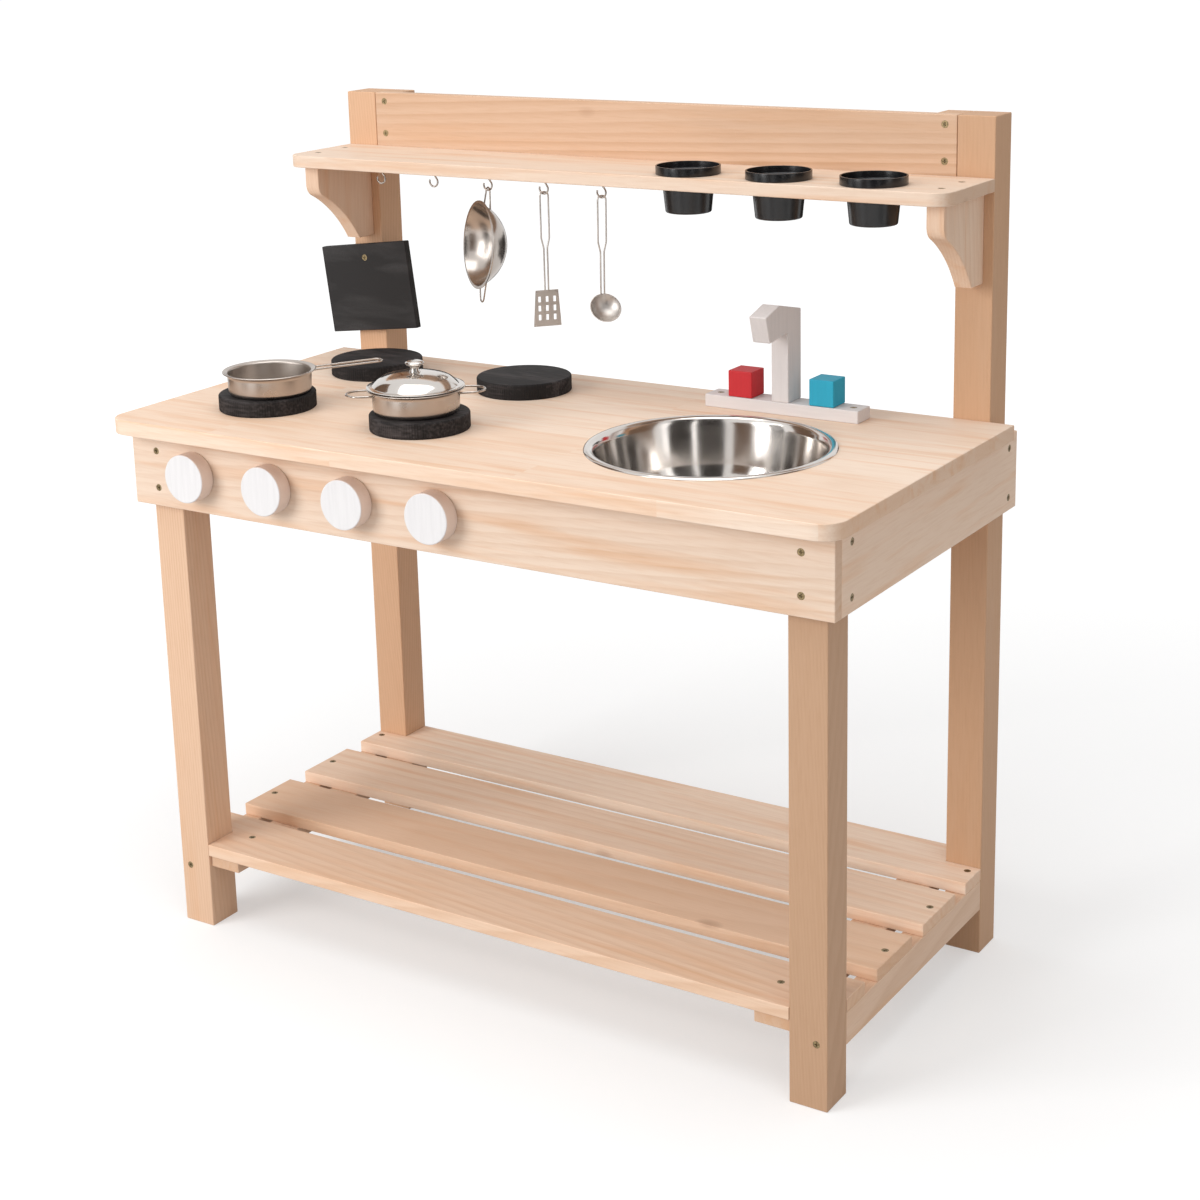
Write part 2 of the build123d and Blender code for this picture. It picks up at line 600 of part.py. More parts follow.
def make_wok():
    """A round-bottomed wok with two wire loops, hung by one of them with its mouth to the front."""
    radius = (WOK_DIAMETER**2 / 4 + WOK_DEPTH**2) / (2 * WOK_DEPTH)
    shell = Pos(0, 0, radius - WOK_DEPTH) * (Sphere(radius) - Sphere(radius - WOK_WALL))
    shell &= Pos(0, 0, -radius) * Cylinder(2 * radius, 2 * radius)
    mouth = Cylinder(WOK_DIAMETER / 2 - WOK_WALL, 3 * WOK_WALL)
    flange = Cylinder(WOK_DIAMETER / 2 + WOK_FLANGE, WOK_WALL) - mouth
    bowl = shell + Pos(0, 0, -WOK_WALL / 2) * flange
    seat = sqrt(radius**2 - (WOK_HANDLE_SETBACK + radius - WOK_DEPTH) ** 2)
    core = Pos(0, 0, radius - WOK_DEPTH) * Sphere(radius)
    root = seat - 2 * UTENSIL_WIRE
    length = WOK_HANDLE_LENGTH + WOK_FLANGE + 2 * UTENSIL_WIRE
    loop = wire_loop(root, length, WOK_HANDLE_WIDTH, UTENSIL_WIRE, WOK_HANDLE_TIP)
    loop = Pos(0, 0, -WOK_HANDLE_SETBACK) * loop - core
    apex = root + length - UTENSIL_WIRE / 2
    # The wok's mouth turns to face -Y, its first loop comes up, and its loops' plane goes to Y = 0.
    stand = Pos(0, -WOK_HANDLE_SETBACK, WOK_LOOP_RISE - apex) * Rot(90, 0, 0) * Rot(0, 0, 90)
    pieces = [stand * bowl, stand * Compound([loop, Rot(0, 0, 180) * loop])]
    nodes["wok"], nodes["wok_handles"] = hung(pieces, WOK_X, WOK_YAW)


def utensil_handle(length):
    """A wire bent to a long loop that narrows to two close stems, its apex over the hook's wire."""
    loop = (UTENSIL_LOOP_WIDTH - UTENSIL_WIRE) / 2
    neck = UTENSIL_NECK_WIDTH / 2
    apex = LOOP_RISE
    right = [
        (neck, 0, apex - length),
        (neck, 0, apex - UTENSIL_SHOULDER_FOOT),
        (loop, 0, apex - UTENSIL_SHOULDER_TOP),
        (loop, 0, apex - loop),
    ]
    left = [(-x, y, z) for x, y, z in reversed(right)]
    stem = FilletPolyline(*right, radius=UTENSIL_BEND)
    other = FilletPolyline(*left, radius=UTENSIL_BEND)
    crown = ThreePointArc(right[-1], (0, 0, apex), left[0])
    return wire(Wire(stem.edges() + crown.edges() + other.edges()), UTENSIL_WIRE)


def make_spatula():
    """A slotted blade on a wire handle."""
    wire_length = SPATULA_LENGTH - SPATULA_BLADE_HEIGHT
    top = SPATULA_BLADE_TOP_WIDTH / 2
    half = SPATULA_BLADE_WIDTH / 2
    outline = Polyline(
        (-top, 0), (top, 0), (half, -SPATULA_BLADE_HEIGHT), (-half, -SPATULA_BLADE_HEIGHT), close=True
    )
    blade = extrude(Plane.XZ * make_face(outline), SPATULA_BLADE_THICK / 2, both=True)
    slot = Box(SPATULA_SLOT_WIDTH, 4 * SPATULA_BLADE_THICK, SPATULA_SLOT_HEIGHT)
    column_pitch = SPATULA_BLADE_TOP_WIDTH / SPATULA_SLOTS
    row_pitch = SPATULA_BLADE_HEIGHT / (SPATULA_SLOTS + 1)
    middle = (SPATULA_SLOTS - 1) / 2
    for row in range(SPATULA_SLOTS):
        for column in range(SPATULA_SLOTS):
            blade -= Pos((column - middle) * column_pitch, 0, -(row + 1) * row_pitch) * slot
    blade = Pos(0, 0, LOOP_RISE - wire_length) * blade
    handle, blade = hung([utensil_handle(wire_length), blade], SPATULA_X, SPATULA_YAW)
    nodes["spatula"] = Compound([handle, blade])


def make_ladle():
    """A shallow round bowl on a wire handle, its mouth turned up to the front."""
    rim = LADLE_BOWL / 2
    radius = (rim**2 + LADLE_BOWL_DEPTH**2) / (2 * LADLE_BOWL_DEPTH)
    shell = Pos(0, 0, radius - LADLE_BOWL_DEPTH) * (Sphere(radius) - Sphere(radius - LADLE_WALL))
    shell &= Pos(0, 0, -radius) * Cylinder(2 * radius, 2 * radius)
    drop = LADLE_BOWL * cos(radians(LADLE_TILT))
    wire_length = LADLE_LENGTH - drop
    # The back of the rim meets the stems, and the mouth tips towards -Y.
    bowl = Pos(0, 0, LOOP_RISE - wire_length) * Rot(90 - LADLE_TILT, 0, 0) * Pos(0, -rim, 0) * shell
    handle, bowl = hung([utensil_handle(wire_length), bowl], LADLE_X, LADLE_YAW)
    nodes["ladle"] = Compound([handle, bowl])


def drive_frame_screws():
    """Screws through the aprons, the side rails' ends and the top shelf."""
    frame, panel = [], []
    for side, sign in (("left", -1), ("right", 1)):
        leg, post, apron = f"front_{side}_leg", f"back_{side}_post", f"{side}_apron"
        x = sign * LEG_CENTRE
        for lift in (-1, 1):
            z = APRON_MIDDLE + lift * APRON_SCREW_SPREAD / 2
            frame.append(drive((x, -APRON_THICK, z), FRONT, APRON_SCREW, "front_apron", leg))
            frame.append(drive((x, POST_FRONT - APRON_THICK, z), FRONT, APRON_SCREW, "back_apron", post))
            z = APRON_MIDDLE + lift * SIDE_APRON_SCREW_SPREAD / 2
            for y, upright in ((LEG_SIDE / 2, leg), (POST_CENTRE_Y, post)):
                frame.append(drive((sign * APRON_RIGHT, y, z), (sign, 0, 0), APRON_SCREW, apron, upright))
        x = sign * SIDE_RAIL_CENTRE
        rail = f"{side}_side_rail"
        frame.append(drive((x, 0, SIDE_RAIL_MIDDLE), FRONT, SIDE_RAIL_SCREW, leg, rail))
        frame.append(drive((x, FRAME_DEPTH, SIDE_RAIL_MIDDLE), BACK, SIDE_RAIL_SCREW, post, rail))
        x = sign * (LEG_INNER - TOP_RAIL_SCREW_INSET)
        for drop in TOP_RAIL_SCREW_DROPS:
            point = (x, POST_FRONT, POST_HEIGHT - drop)
            panel.append(drive(point, FRONT, TOP_RAIL_SCREW, "top_rail", "top_rail_cleats"))
        x = sign * LEG_CENTRE
        for setback in SHELF_SCREW_SETBACKS:
            point = (x, SHELF_FRONT + setback, SHELF_TOP)
            panel.append(drive(point, UP, SHELF_SCREW, "top_shelf", f"{side}_bracket"))
        x = SINK_X + sign * (TAP_BASE_LENGTH / 2 - TAP_BASE_SCREW_INSET)
        point = (x, TAP_BASE_MIDDLE_Y, TAP_BASE_TOP)
        panel.append(drive(point, UP, TAP_BASE_SCREW, "tap_base", "worktop"))
    nodes["frame_screws"] = Compound(frame)
    nodes["panel_screws"] = Compound(panel)


def drive_slat_screws():
    """One screw near each end of each slat, into a batten or a side rail."""
    screws = []
    for side, sign in (("left", -1), ("right", 1)):
        x = sign * (LEG_INNER - BATTEN_WIDTH + BATTEN_SCREW_INSET)
        point = (x, SLAT_WIDTH / 2, SLAT_TOP)
        screws.append(drive(point, UP, SLAT_BATTEN_SCREW, "shelf_slat_1", f"{side}_slat_batten"))
        x = sign * (FRAME_RIGHT - SLAT_SCREW_INSET)
        for number in range(1, SLAT_COUNT):
            y = min(number * SLAT_PITCH + SLAT_WIDTH / 2, POST_FRONT - SLAT_SCREW_INSET)
            slat = f"shelf_slat_{number + 1}"
            screws.append(drive((x, y, SLAT_TOP), UP, SLAT_RAIL_SCREW, slat, f"{side}_side_rail"))
    nodes["slat_screws"] = Compound(screws)


def drive_pivot_screws():
    """Screws that the knobs, the tap's handles and the chalkboard turn on."""
    for number, x in enumerate(KNOB_X, 1):
        length = APRON_THICK + TURNING_GAP + KNOB_SCREW_BITE
        point = (x, 0, APRON_MIDDLE)
        nodes[f"knob_screw_{number}"] = drive(point, BACK, length, "front_apron", f"knob_{number}")
    for colour, x in TAP_HANDLE_X.items():
        length = TAP_BASE_THICK + TURNING_GAP + TAP_HANDLE_SCREW_BITE
        point = (x, TAP_BASE_MIDDLE_Y, WORKTOP_TOP)
        screw_name = f"{colour}_tap_handle_screw"
        nodes[screw_name] = drive(point, DOWN, length, "tap_base", f"{colour}_tap_handle")
    length = BOARD_THICK + TURNING_GAP + BOARD_SCREW_BITE
    point = (-LEG_CENTRE, BOARD_FRONT_Y, BOARD_PIVOT_HEIGHT)
    nodes["chalkboard_screw"] = drive(point, FRONT, length, "chalkboard", "back_left_post")


make_frame()
make_worktop()
make_slatted_shelf()
make_top_shelf()
make_hooks()
make_tap()
make_chalkboard()
make_knobs()
make_pots_and_sink()
make_pans()
make_lid()
make_wok()
make_spatula()
make_ladle()
drive_frame_screws()
drive_slat_screws()
drive_pivot_screws()

# The finished kitchen's origin is the middle of its bounding box, on the floor.
extent = Compound([solid for shape in nodes.values() for solid in shape.solids()]).bounding_box()
ORIGIN = (extent.center().X, extent.center().Y, 0)

os.makedirs("parts", exist_ok=True)
for name, shape in nodes.items():
    nodes[name] = Pos(-ORIGIN[0], -ORIGIN[1], 0) * Compound(shape.solids())
    export_step(nodes[name], f"parts/{name}.step")
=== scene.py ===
from math import atan2, cos, pi, radians, sin

import bmesh
import bpy
from mathutils import Matrix, Vector


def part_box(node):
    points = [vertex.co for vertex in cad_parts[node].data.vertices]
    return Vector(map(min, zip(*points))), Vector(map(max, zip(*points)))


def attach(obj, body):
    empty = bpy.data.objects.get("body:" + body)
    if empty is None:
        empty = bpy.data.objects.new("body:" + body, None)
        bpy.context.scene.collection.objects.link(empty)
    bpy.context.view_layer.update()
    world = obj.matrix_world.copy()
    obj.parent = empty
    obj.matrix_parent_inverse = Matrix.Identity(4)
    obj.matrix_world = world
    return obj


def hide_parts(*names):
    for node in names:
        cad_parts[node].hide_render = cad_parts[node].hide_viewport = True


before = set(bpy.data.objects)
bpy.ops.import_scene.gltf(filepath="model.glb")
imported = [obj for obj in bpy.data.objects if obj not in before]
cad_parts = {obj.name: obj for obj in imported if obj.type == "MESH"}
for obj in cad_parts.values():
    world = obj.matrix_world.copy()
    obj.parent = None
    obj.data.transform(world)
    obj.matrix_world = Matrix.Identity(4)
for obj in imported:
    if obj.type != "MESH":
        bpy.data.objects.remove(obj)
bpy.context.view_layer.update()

# Camera, in metres and degrees, fitted to corners seen in the photograph
CAMERA_PLACE = (1.3789, -2.0458, 1.2611)
CAMERA_AZIMUTH = 32.666
CAMERA_ELEVATION = 14.205
CAMERA_ROLL = -1.412
CAMERA_LENS = 65.605
CAMERA_SHIFT = -0.14

# Colours as linear light
PINE_PALE = (0.86, 0.675, 0.535)
PINE_WARM = (0.79, 0.49, 0.305)
PINE_LATE = (0.60, 0.33, 0.17)
PINE_KNOT = (0.26, 0.11, 0.05)
WHITE_PAINT = (0.79, 0.77, 0.77)
# The tap's white paint is a darker, warmer copy of the knobs' white, as painted shade
WHITE_PAINT_SHADED = (0.71, 0.66, 0.645)
RED_PAINT = (0.55, 0.022, 0.029)
BLUE_PAINT = (0.022, 0.36, 0.52)
STAIN_BLACK = (0.013, 0.011, 0.011)
STAIN_GREY = (0.070, 0.060, 0.060)
PLASTIC_BLACK = (0.006, 0.006, 0.007)
PLASTIC_DUST = (0.014, 0.014, 0.015)
SLATE = (0.024, 0.022, 0.022)
CHALK = (0.30, 0.29, 0.29)
SINK_STEEL = (0.66, 0.62, 0.585)
# Steel darkened to paint in the dark, brown reflections on the pans, also used for the wok and the wire
# handles
STEEL_PAINTED_DARK = (0.50, 0.45, 0.41)
BRASS = (0.36, 0.27, 0.14)
BRASS_DARK = (0.10, 0.075, 0.045)
CARD_DARK = (0.02, 0.016, 0.013)
CARD_BROWN = (0.20, 0.12, 0.075)

# Wood grain, in metres and degrees: rings, glued planks, patterns per metre, stretch along the grain
BOARD_RING = 0.011
UPRIGHT_RING = 0.0036
RING_WANDER = 0.020
PITH_LEAN = (2.0, 3.0, 4.5)
PITH_REACH = 0.05
PITH_TURN = 3.1
PLANK_WIDTH = 0.056
PLANK_LENGTH = 0.42
PLANK_STAGGER = 0.43
PLANK_SHIFT = (0.13, 0.021, 0)
PLANK_JUMP = 7.0
PLANK_WARMTH = 0.35
STREAK_SCALE = 62
PATCH_SCALE = 12
FIBRE_SCALE = 520
KNOT_SCALE = 5.5
WANDER_SCALE = 9
GRAIN_STRETCH = {"X": (0.06, 1, 1), "Y": (1, 0.06, 1), "Z": (1, 1, 0.06)}
KNOT_STRETCH = {"X": (0.55, 1, 1), "Y": (1, 0.55, 1), "Z": (1, 1, 0.55)}
ACROSS_GRAIN = {"X": (0, 1, 1), "Y": (1, 0, 1), "Z": (1, 1, 0)}

# Which way the grain of each board runs, how warm its colour is (on the uprights partly painted warm
# bounce light), how light (partly painted light and shade, as on the shaded front right leg and the slats
# under the worktop), and how strong its figure
BOARDS = {
    "front_apron": ("X", 0.00, 0.94, 0.30),
    "back_apron": ("X", 0.30, 0.95, 0.25),
    "left_apron": ("Y", 0.10, 1.00, 0.12),
    "right_apron": ("Y", 0.20, 1.00, 0.10),
    "top_rail": ("X", 0.70, 0.80, 0.70),
    "top_shelf": ("X", 0.00, 0.89, 0.12),
    "shelf_slat_1": ("X", 0.45, 1.00, 0.30),
    "shelf_slat_2": ("X", 0.60, 1.00, 0.25),
    "shelf_slat_3": ("X", 0.20, 1.08, 0.25),
    "shelf_slat_4": ("X", 0.00, 1.08, 0.20),
    "left_side_rail": ("Y", 0.50, 0.95, 0.25),
    "right_side_rail": ("Y", 0.50, 0.95, 0.25),
    "left_slat_batten": ("Y", 0.40, 0.95, 0.25),
    "right_slat_batten": ("Y", 0.40, 0.95, 0.25),
    "front_left_leg": ("Z", 0.70, 0.93, 0.40),
    "front_right_leg": ("Z", 1.00, 0.69, 0.45),
    "back_left_post": ("Z", 1.00, 0.85, 0.35),
    "back_right_post": ("Z", 1.10, 0.75, 0.30),
    "top_rail_cleats": ("Z", 0.90, 0.80, 0.30),
    "left_bracket": ("Z", 0.45, 0.96, 0.20),
    "right_bracket": ("Z", 0.35, 0.96, 0.30),
}
WORKTOP = ("X", -0.20, 1.0, 0.16)

# How far the pattern of a material moves on from one piece to the next
PINE_STEP = (0.37, 0.61, 0.23)
PAINT_STEP = (0.31, 0.17, 0.53)
STAIN_STEP = (0.4, 0.7, 0.2)

# How strongly dull surfaces mirror, from 0 to 1
WOOD_SHEEN = 0.3
CHALKY_SHEEN = 0.25

# Counts: steps round a full turn, a corner and a saw rib, ribs round a burner, and waves in their depth
TURNING_STEPS = 128
CORNER_STEPS = 6
RIB_STEPS = 4
SAW_RIBS = 118
SAW_WAVES = 9

# Small shapes that only the looks need, in metres
SHEET = 0.001
MERGE_DISTANCE = 0.000001
SINK_LIP = 0.0105
SINK_LIP_DEPTH = 0.0030
SINK_TAPER = 0.030
SINK_SHOULDER = 0.008
SINK_SHOULDER_STEP = 0.003
SINK_FLOOR_ROUND = 0.046
PAN_LIP = 0.006
PAN_TAPER = 0.001
LID_FLANGE = 0.007
LID_CROWN_ROUND = 0.014
LID_SIDE_ROUND = 0.010
POT_WALL = 0.0018
POT_COLLAR = 0.010
POT_COLLAR_STEP = 0.0065
POT_TAPER = 0.011
BURNER_FOOT_ROUND = 0.0015
BURNER_TOP_ROUND = 0.0022
SAW_DEPTH = 0.0009
SAW_REACH = 0.001

# Shares: of the ribs' depth that waves, and of the radius and height of the lid's dome
SAW_UNEVEN = 0.3
LID_CROWN = 0.52
LID_SIDE = 0.90
LID_SIDE_HEIGHT = 0.52

# Light and floor: strengths, and lengths in metres
WORLD_LIGHT = 0.50
FLOOR_GREY = (0.60, 0.60, 0.60)
FLOOR_GLOW_NEAR = 0.42
FLOOR_GLOW_FAR = 0.73
FLOOR_GLOW_START = 0.7
FLOOR_GLOW_END = 3.0
FLOOR_HALF = 30
LIGHT_AIM = (0, 0, 0.6)


def shader(name, base, roughness, metallic=0.0):
    """A new material, with its node tree and its main shader."""
    material = bpy.data.materials.new(name)
    material.use_nodes = True
    tree = material.node_tree
    bsdf = tree.nodes["Principled BSDF"]
    bsdf.inputs["Base Color"].default_value = (*base, 1)
    bsdf.inputs["Roughness"].default_value = roughness
    bsdf.inputs["Metallic"].default_value = metallic
    return material, tree, bsdf


def add(tree, kind, sockets=None, **settings):
    """A node with its properties set and its sockets filled by value or link."""
    node = tree.nodes.new(kind)
    for key, value in settings.items():
        setattr(node, key, value)
    for key, value in (sockets or {}).items():
        if isinstance(value, bpy.types.NodeSocket):
            tree.links.new(value, node.inputs[key])
        else:
            node.inputs[key].default_value = value
    return node


def calc(tree, operation, first, second=0.0):
    """The result of one sum on values or sockets."""
    return add(tree, "ShaderNodeMath", {0: first, 1: second}, operation=operation).outputs[0]


def mixed(tree, factor, first, second):
    """A mix of two colours, each a colour or a socket."""
    node = add(tree, "ShaderNodeMix", data_type="RGBA")
    tree.links.new(factor, node.inputs[0])
    for socket, colour in ((node.inputs[6], first), (node.inputs[7], second)):
        if isinstance(colour, bpy.types.NodeSocket):
            tree.links.new(colour, socket)
        else:
            socket.default_value = (*colour, 1)
    return node.outputs[2]


def ramp(tree, factor, low, high, top=1.0, bottom=0.0):
    """A factor stretched so that low becomes the bottom value and high the top value."""
    sockets = {"Value": factor, "From Min": low, "From Max": high, "To Min": bottom, "To Max": top}
    return add(tree, "ShaderNodeMapRange", sockets).outputs["Result"]


def place(tree, offset=(0, 0, 0), turn=(0, 0, 0), scale=(1, 1, 1)):
    """The object's own coordinates, scaled, turned and moved."""
    coordinates = add(tree, "ShaderNodeTexCoord").outputs["Object"]
    sockets = {"Vector": coordinates, "Location": offset, "Rotation": turn, "Scale": scale}
    return add(tree, "ShaderNodeMapping", sockets).outputs["Vector"]


def noise(tree, vector, scale, detail=3.0, distortion=0.0):
    """A noise value between 0 and 1."""
    sockets = {"Vector": vector, "Scale": scale, "Detail": detail, "Distortion": distortion}
    return add(tree, "ShaderNodeTexNoise", sockets).outputs["Fac"]


def bump(tree, bsdf, height, distance):
    """Roughen a shader's surface by a height."""
    node = add(tree, "ShaderNodeBump", {"Height": height, "Distance": distance})
    tree.links.new(node.outputs["Normal"], bsdf.inputs["Normal"])


def facing(tree, axis):
    """How squarely a face looks along an axis, either way, from 0 to 1."""
    normal = add(tree, "ShaderNodeNewGeometry").outputs["Normal"]
    split = add(tree, "ShaderNodeSeparateXYZ", {0: normal})
    return calc(tree, "ABSOLUTE", split.outputs[axis])


def plank_greys(tree):
    """A grey value for each of the planks that a panel is glued up from."""
    sockets = {
        "Vector": place(tree, PLANK_SHIFT),
        "Color1": (0, 0, 0, 1),
        "Color2": (1, 1, 1, 1),
        "Scale": 1,
        "Mortar Size": 0,
        "Brick Width": PLANK_LENGTH,
        "Row Height": PLANK_WIDTH,
    }
    return add(tree, "ShaderNodeTexBrick", sockets, offset=PLANK_STAGGER).outputs["Color"]


def stepped(step, seed):
    """The place of a pattern on the piece with this number."""
    return tuple(length * seed for length in step)


def moved(tree, vector, shift):
    """A vector with the same shift added along all three axes."""
    return add(tree, "ShaderNodeVectorMath", {0: vector, 1: shift}, operation="ADD").outputs[0]


def growth_rings(tree, along, pith, axis):
    """Late wood, from 0 to 1, in wandering rings about a leaning pith beside the board."""
    leaning = place(tree, pith, turn=tuple(map(radians, PITH_LEAN)))
    flat = {0: leaning, 1: ACROSS_GRAIN[axis]}
    across = add(tree, "ShaderNodeVectorMath", flat, operation="MULTIPLY").outputs[0]
    radius = add(tree, "ShaderNodeVectorMath", {0: across}, operation="LENGTH").outputs["Value"]
    waver = noise(tree, along, WANDER_SCALE, detail=4, distortion=0.6)
    wander = calc(tree, "MULTIPLY", waver, RING_WANDER)
    pitch = UPRIGHT_RING if axis == "Z" else BOARD_RING
    ring = calc(tree, "FRACT", calc(tree, "DIVIDE", calc(tree, "ADD", radius, wander), pitch))
    rise = ramp(tree, ring, low=0.30, high=0.85)
    fall = ramp(tree, ring, low=1.0, high=0.88)
    return calc(tree, "MULTIPLY", rise, fall)


def pine(name, axis, seed, warmth, tone_and_painted_light, figure, planks=False):
    """Planed pine with its grain along an axis, in one piece or glued up from planks."""
    material, tree, bsdf = shader(name, PINE_PALE, roughness=0.55)
    bsdf.inputs["Specular IOR Level"].default_value = WOOD_SHEEN
    offset = stepped(PINE_STEP, seed)
    along = place(tree, offset, scale=GRAIN_STRETCH[axis])
    pith = tuple(PITH_REACH + PITH_REACH * sin(PITH_TURN * seed + turn) for turn in range(3))
    # The colour is scaled by the board's tone, which partly paints in light and shade
    colour = tuple(tone_and_painted_light * (pale + warmth * (warm - pale)) for pale, warm in zip(PINE_PALE, PINE_WARM))
    warm_wood = tuple(tone_and_painted_light * channel for channel in PINE_WARM)
    late_wood = tuple(tone_and_painted_light * channel for channel in PINE_LATE)
    if planks:
        grey = plank_greys(tree)
        along = moved(tree, along, calc(tree, "MULTIPLY", grey, PLANK_JUMP))
        colour = mixed(tree, calc(tree, "MULTIPLY", grey, PLANK_WARMTH), colour, warm_wood)
    streaks = noise(tree, along, STREAK_SCALE, detail=4, distortion=0.3)
    colour = mixed(tree, ramp(tree, streaks, low=0.50, high=0.70, top=0.70), colour, warm_wood)
    late = growth_rings(tree, along, pith, axis)
    patches = noise(tree, along, PATCH_SCALE, detail=2)
    strength = ramp(tree, patches, low=0.40, high=0.70, top=figure, bottom=figure / 5)
    colour = mixed(tree, calc(tree, "MULTIPLY", late, strength), colour, late_wood)
    fibres = noise(tree, along, FIBRE_SCALE, detail=2)
    colour = mixed(tree, ramp(tree, fibres, low=0.45, high=0.75, top=0.18), colour, late_wood)
    spots = place(tree, offset, scale=KNOT_STRETCH[axis])
    knots = add(tree, "ShaderNodeTexVoronoi", {"Vector": spots, "Scale": KNOT_SCALE}).outputs["Distance"]
    colour = mixed(tree, ramp(tree, knots, low=0.075, high=0.025, top=0.7), colour, PINE_KNOT)
    end_grain = ramp(tree, facing(tree, axis), low=0.7, high=0.95, top=0.45)
    colour = mixed(tree, end_grain, colour, late_wood)
    tree.links.new(colour, bsdf.inputs["Base Color"])
    bump(tree, bsdf, calc(tree, "ADD", fibres, late), distance=0.00007)
    return material


def painted(name, base, seed, axis):
    """Matt paint on wood, with the grain just showing in it."""
    material, tree, bsdf = shader(name, base, roughness=0.55)
    bsdf.inputs["Specular IOR Level"].default_value = WOOD_SHEEN
    vector = place(tree, stepped(PAINT_STEP, seed), scale=GRAIN_STRETCH[axis])
    shade = tuple(channel * 0.94 for channel in base)
    grain = ramp(tree, noise(tree, vector, scale=260), low=0.35, high=0.75)
    tree.links.new(mixed(tree, grain, base, shade), bsdf.inputs["Base Color"])
    bump(tree, bsdf, noise(tree, vector, scale=420), distance=0.0002)
    return material


def knob_paint(name, seed):
    """White paint on the face of a knob, thin enough on its rim for the wood to show."""
    material = painted(name, WHITE_PAINT, seed, "Z")
    tree = material.node_tree
    base = tree.nodes["Principled BSDF"].inputs["Base Color"]
    face = base.links[0].from_socket
    rim = ramp(tree, facing(tree, "Y"), low=0.75, high=0.35, top=0.40)
    tree.links.new(mixed(tree, rim, face, PINE_WARM), base)
    return material


def stained(name, seed):
    """Black stain on a sawn disc, greyer along the saw marks."""
    material, tree, bsdf = shader(name, STAIN_BLACK, roughness=0.7)
    bsdf.inputs["Specular IOR Level"].default_value = CHALKY_SHEEN
    vector = place(tree, stepped(STAIN_STEP, seed), scale=(0.12, 1, 1))
    marks = noise(tree, vector, scale=300)
    patches = noise(tree, vector, scale=22, detail=2)
    grey = ramp(tree, calc(tree, "MULTIPLY", marks, patches), low=0.22, high=0.48)
    tree.links.new(mixed(tree, grey, STAIN_BLACK, STAIN_GREY), bsdf.inputs["Base Color"])
    bump(tree, bsdf, marks, distance=0.0005)
    return material


def steel(name, base, roughness):
    """Polished steel, a little smeared."""
    material, tree, bsdf = shader(name, base, roughness, metallic=1.0)
    smears = noise(tree, place(tree), scale=26)
    spread = ramp(tree, smears, low=0.3, high=0.7, top=roughness * 1.4, bottom=roughness * 0.8)
    tree.links.new(spread, bsdf.inputs["Roughness"])
    return material


def plastic(name):
    """Black moulded plastic with a little dust."""
    material, tree, bsdf = shader(name, PLASTIC_BLACK, roughness=0.24)
    dust = ramp(tree, noise(tree, place(tree), scale=60, detail=4), low=0.45, high=0.85)
    tree.links.new(mixed(tree, dust, PLASTIC_BLACK, PLASTIC_DUST), bsdf.inputs["Base Color"])
    bump(tree, bsdf, noise(tree, place(tree), scale=1500, detail=2), distance=0.00006)
    return material


def slate(name):
    """Blackboard paint with faint wiped chalk dust."""
    material, tree, bsdf = shader(name, SLATE, roughness=0.75)
    bsdf.inputs["Specular IOR Level"].default_value = CHALKY_SHEEN
    strokes = place(tree, turn=(0, radians(25), 0), scale=(0.25, 1, 1))
    wipes = noise(tree, strokes, scale=30, detail=4, distortion=0.6)
    dust = noise(tree, place(tree), scale=700)
    cover = calc(tree, "MULTIPLY", ramp(tree, wipes, low=0.4, high=0.9, top=0.35), dust)
    tree.links.new(mixed(tree, cover, SLATE, CHALK), bsdf.inputs["Base Color"])
    bump(tree, bsdf, dust, distance=0.00008)
    return material


def brassy(name):
    """Yellow passivated screws, darker where dirt sits."""
    material, tree, bsdf = shader(name, BRASS, roughness=0.38, metallic=0.85)
    dirt = ramp(tree, noise(tree, place(tree), scale=500), low=0.35, high=0.75)
    tree.links.new(mixed(tree, dirt, BRASS, BRASS_DARK), bsdf.inputs["Base Color"])
    return material


def finish(node, material):
    """Give a CAD node one material all over."""
    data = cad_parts[node].data
    data.materials.clear()
    data.materials.append(material)


def finish_wood():
    """Pine for every board, each with its own stretch of grain."""
    for seed, (board, looks) in enumerate(BOARDS.items(), 1):
        axis, warmth, tone_and_painted_light, figure = looks
        finish(board, pine(f"pine_{board}", axis, seed, warmth, tone_and_painted_light, figure))
    axis, warmth, tone_and_painted_light, figure = WORKTOP
    glued = pine("pine_worktop", axis, len(BOARDS) + 1, warmth, tone_and_painted_light, figure, planks=True)
    finish("worktop", glued)


def finish_paint():
    """The painted tap and knobs, the chalkboard and the screws."""
    # The tap takes the darker copy of the white paint, painted shade
    finish("tap_base", painted("white_tap_base", WHITE_PAINT_SHADED, 1, "X"))
    finish("tap_spout", painted("white_tap_spout", WHITE_PAINT_SHADED, 2, "Z"))
    finish("red_tap_handle", painted("red_tap_handle", RED_PAINT, 3, "Z"))
    finish("blue_tap_handle", painted("blue_tap_handle", BLUE_PAINT, 4, "Z"))
    finish("chalkboard", slate("slate_paint"))
    metal = brassy("screw_metal")
    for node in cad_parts:
        if "screw" in node:
            finish(node, metal)
        elif node.startswith("knob_"):
            finish(node, knob_paint(f"white_{node}", int(node[-1])))


def finish_steel(dark, pale, wire):
    """Steel for the utensils, the hooks and the pans' wire handles."""
    # The wok takes the steel darkened as painted reflection
    finish("wok", dark)
    for node in ("spatula", "ladle"):
        finish(node, pale)
    for node in ("saucepan_handle", "casserole_handles", "wok_handles", "utensil_hooks"):
        finish(node, wire)


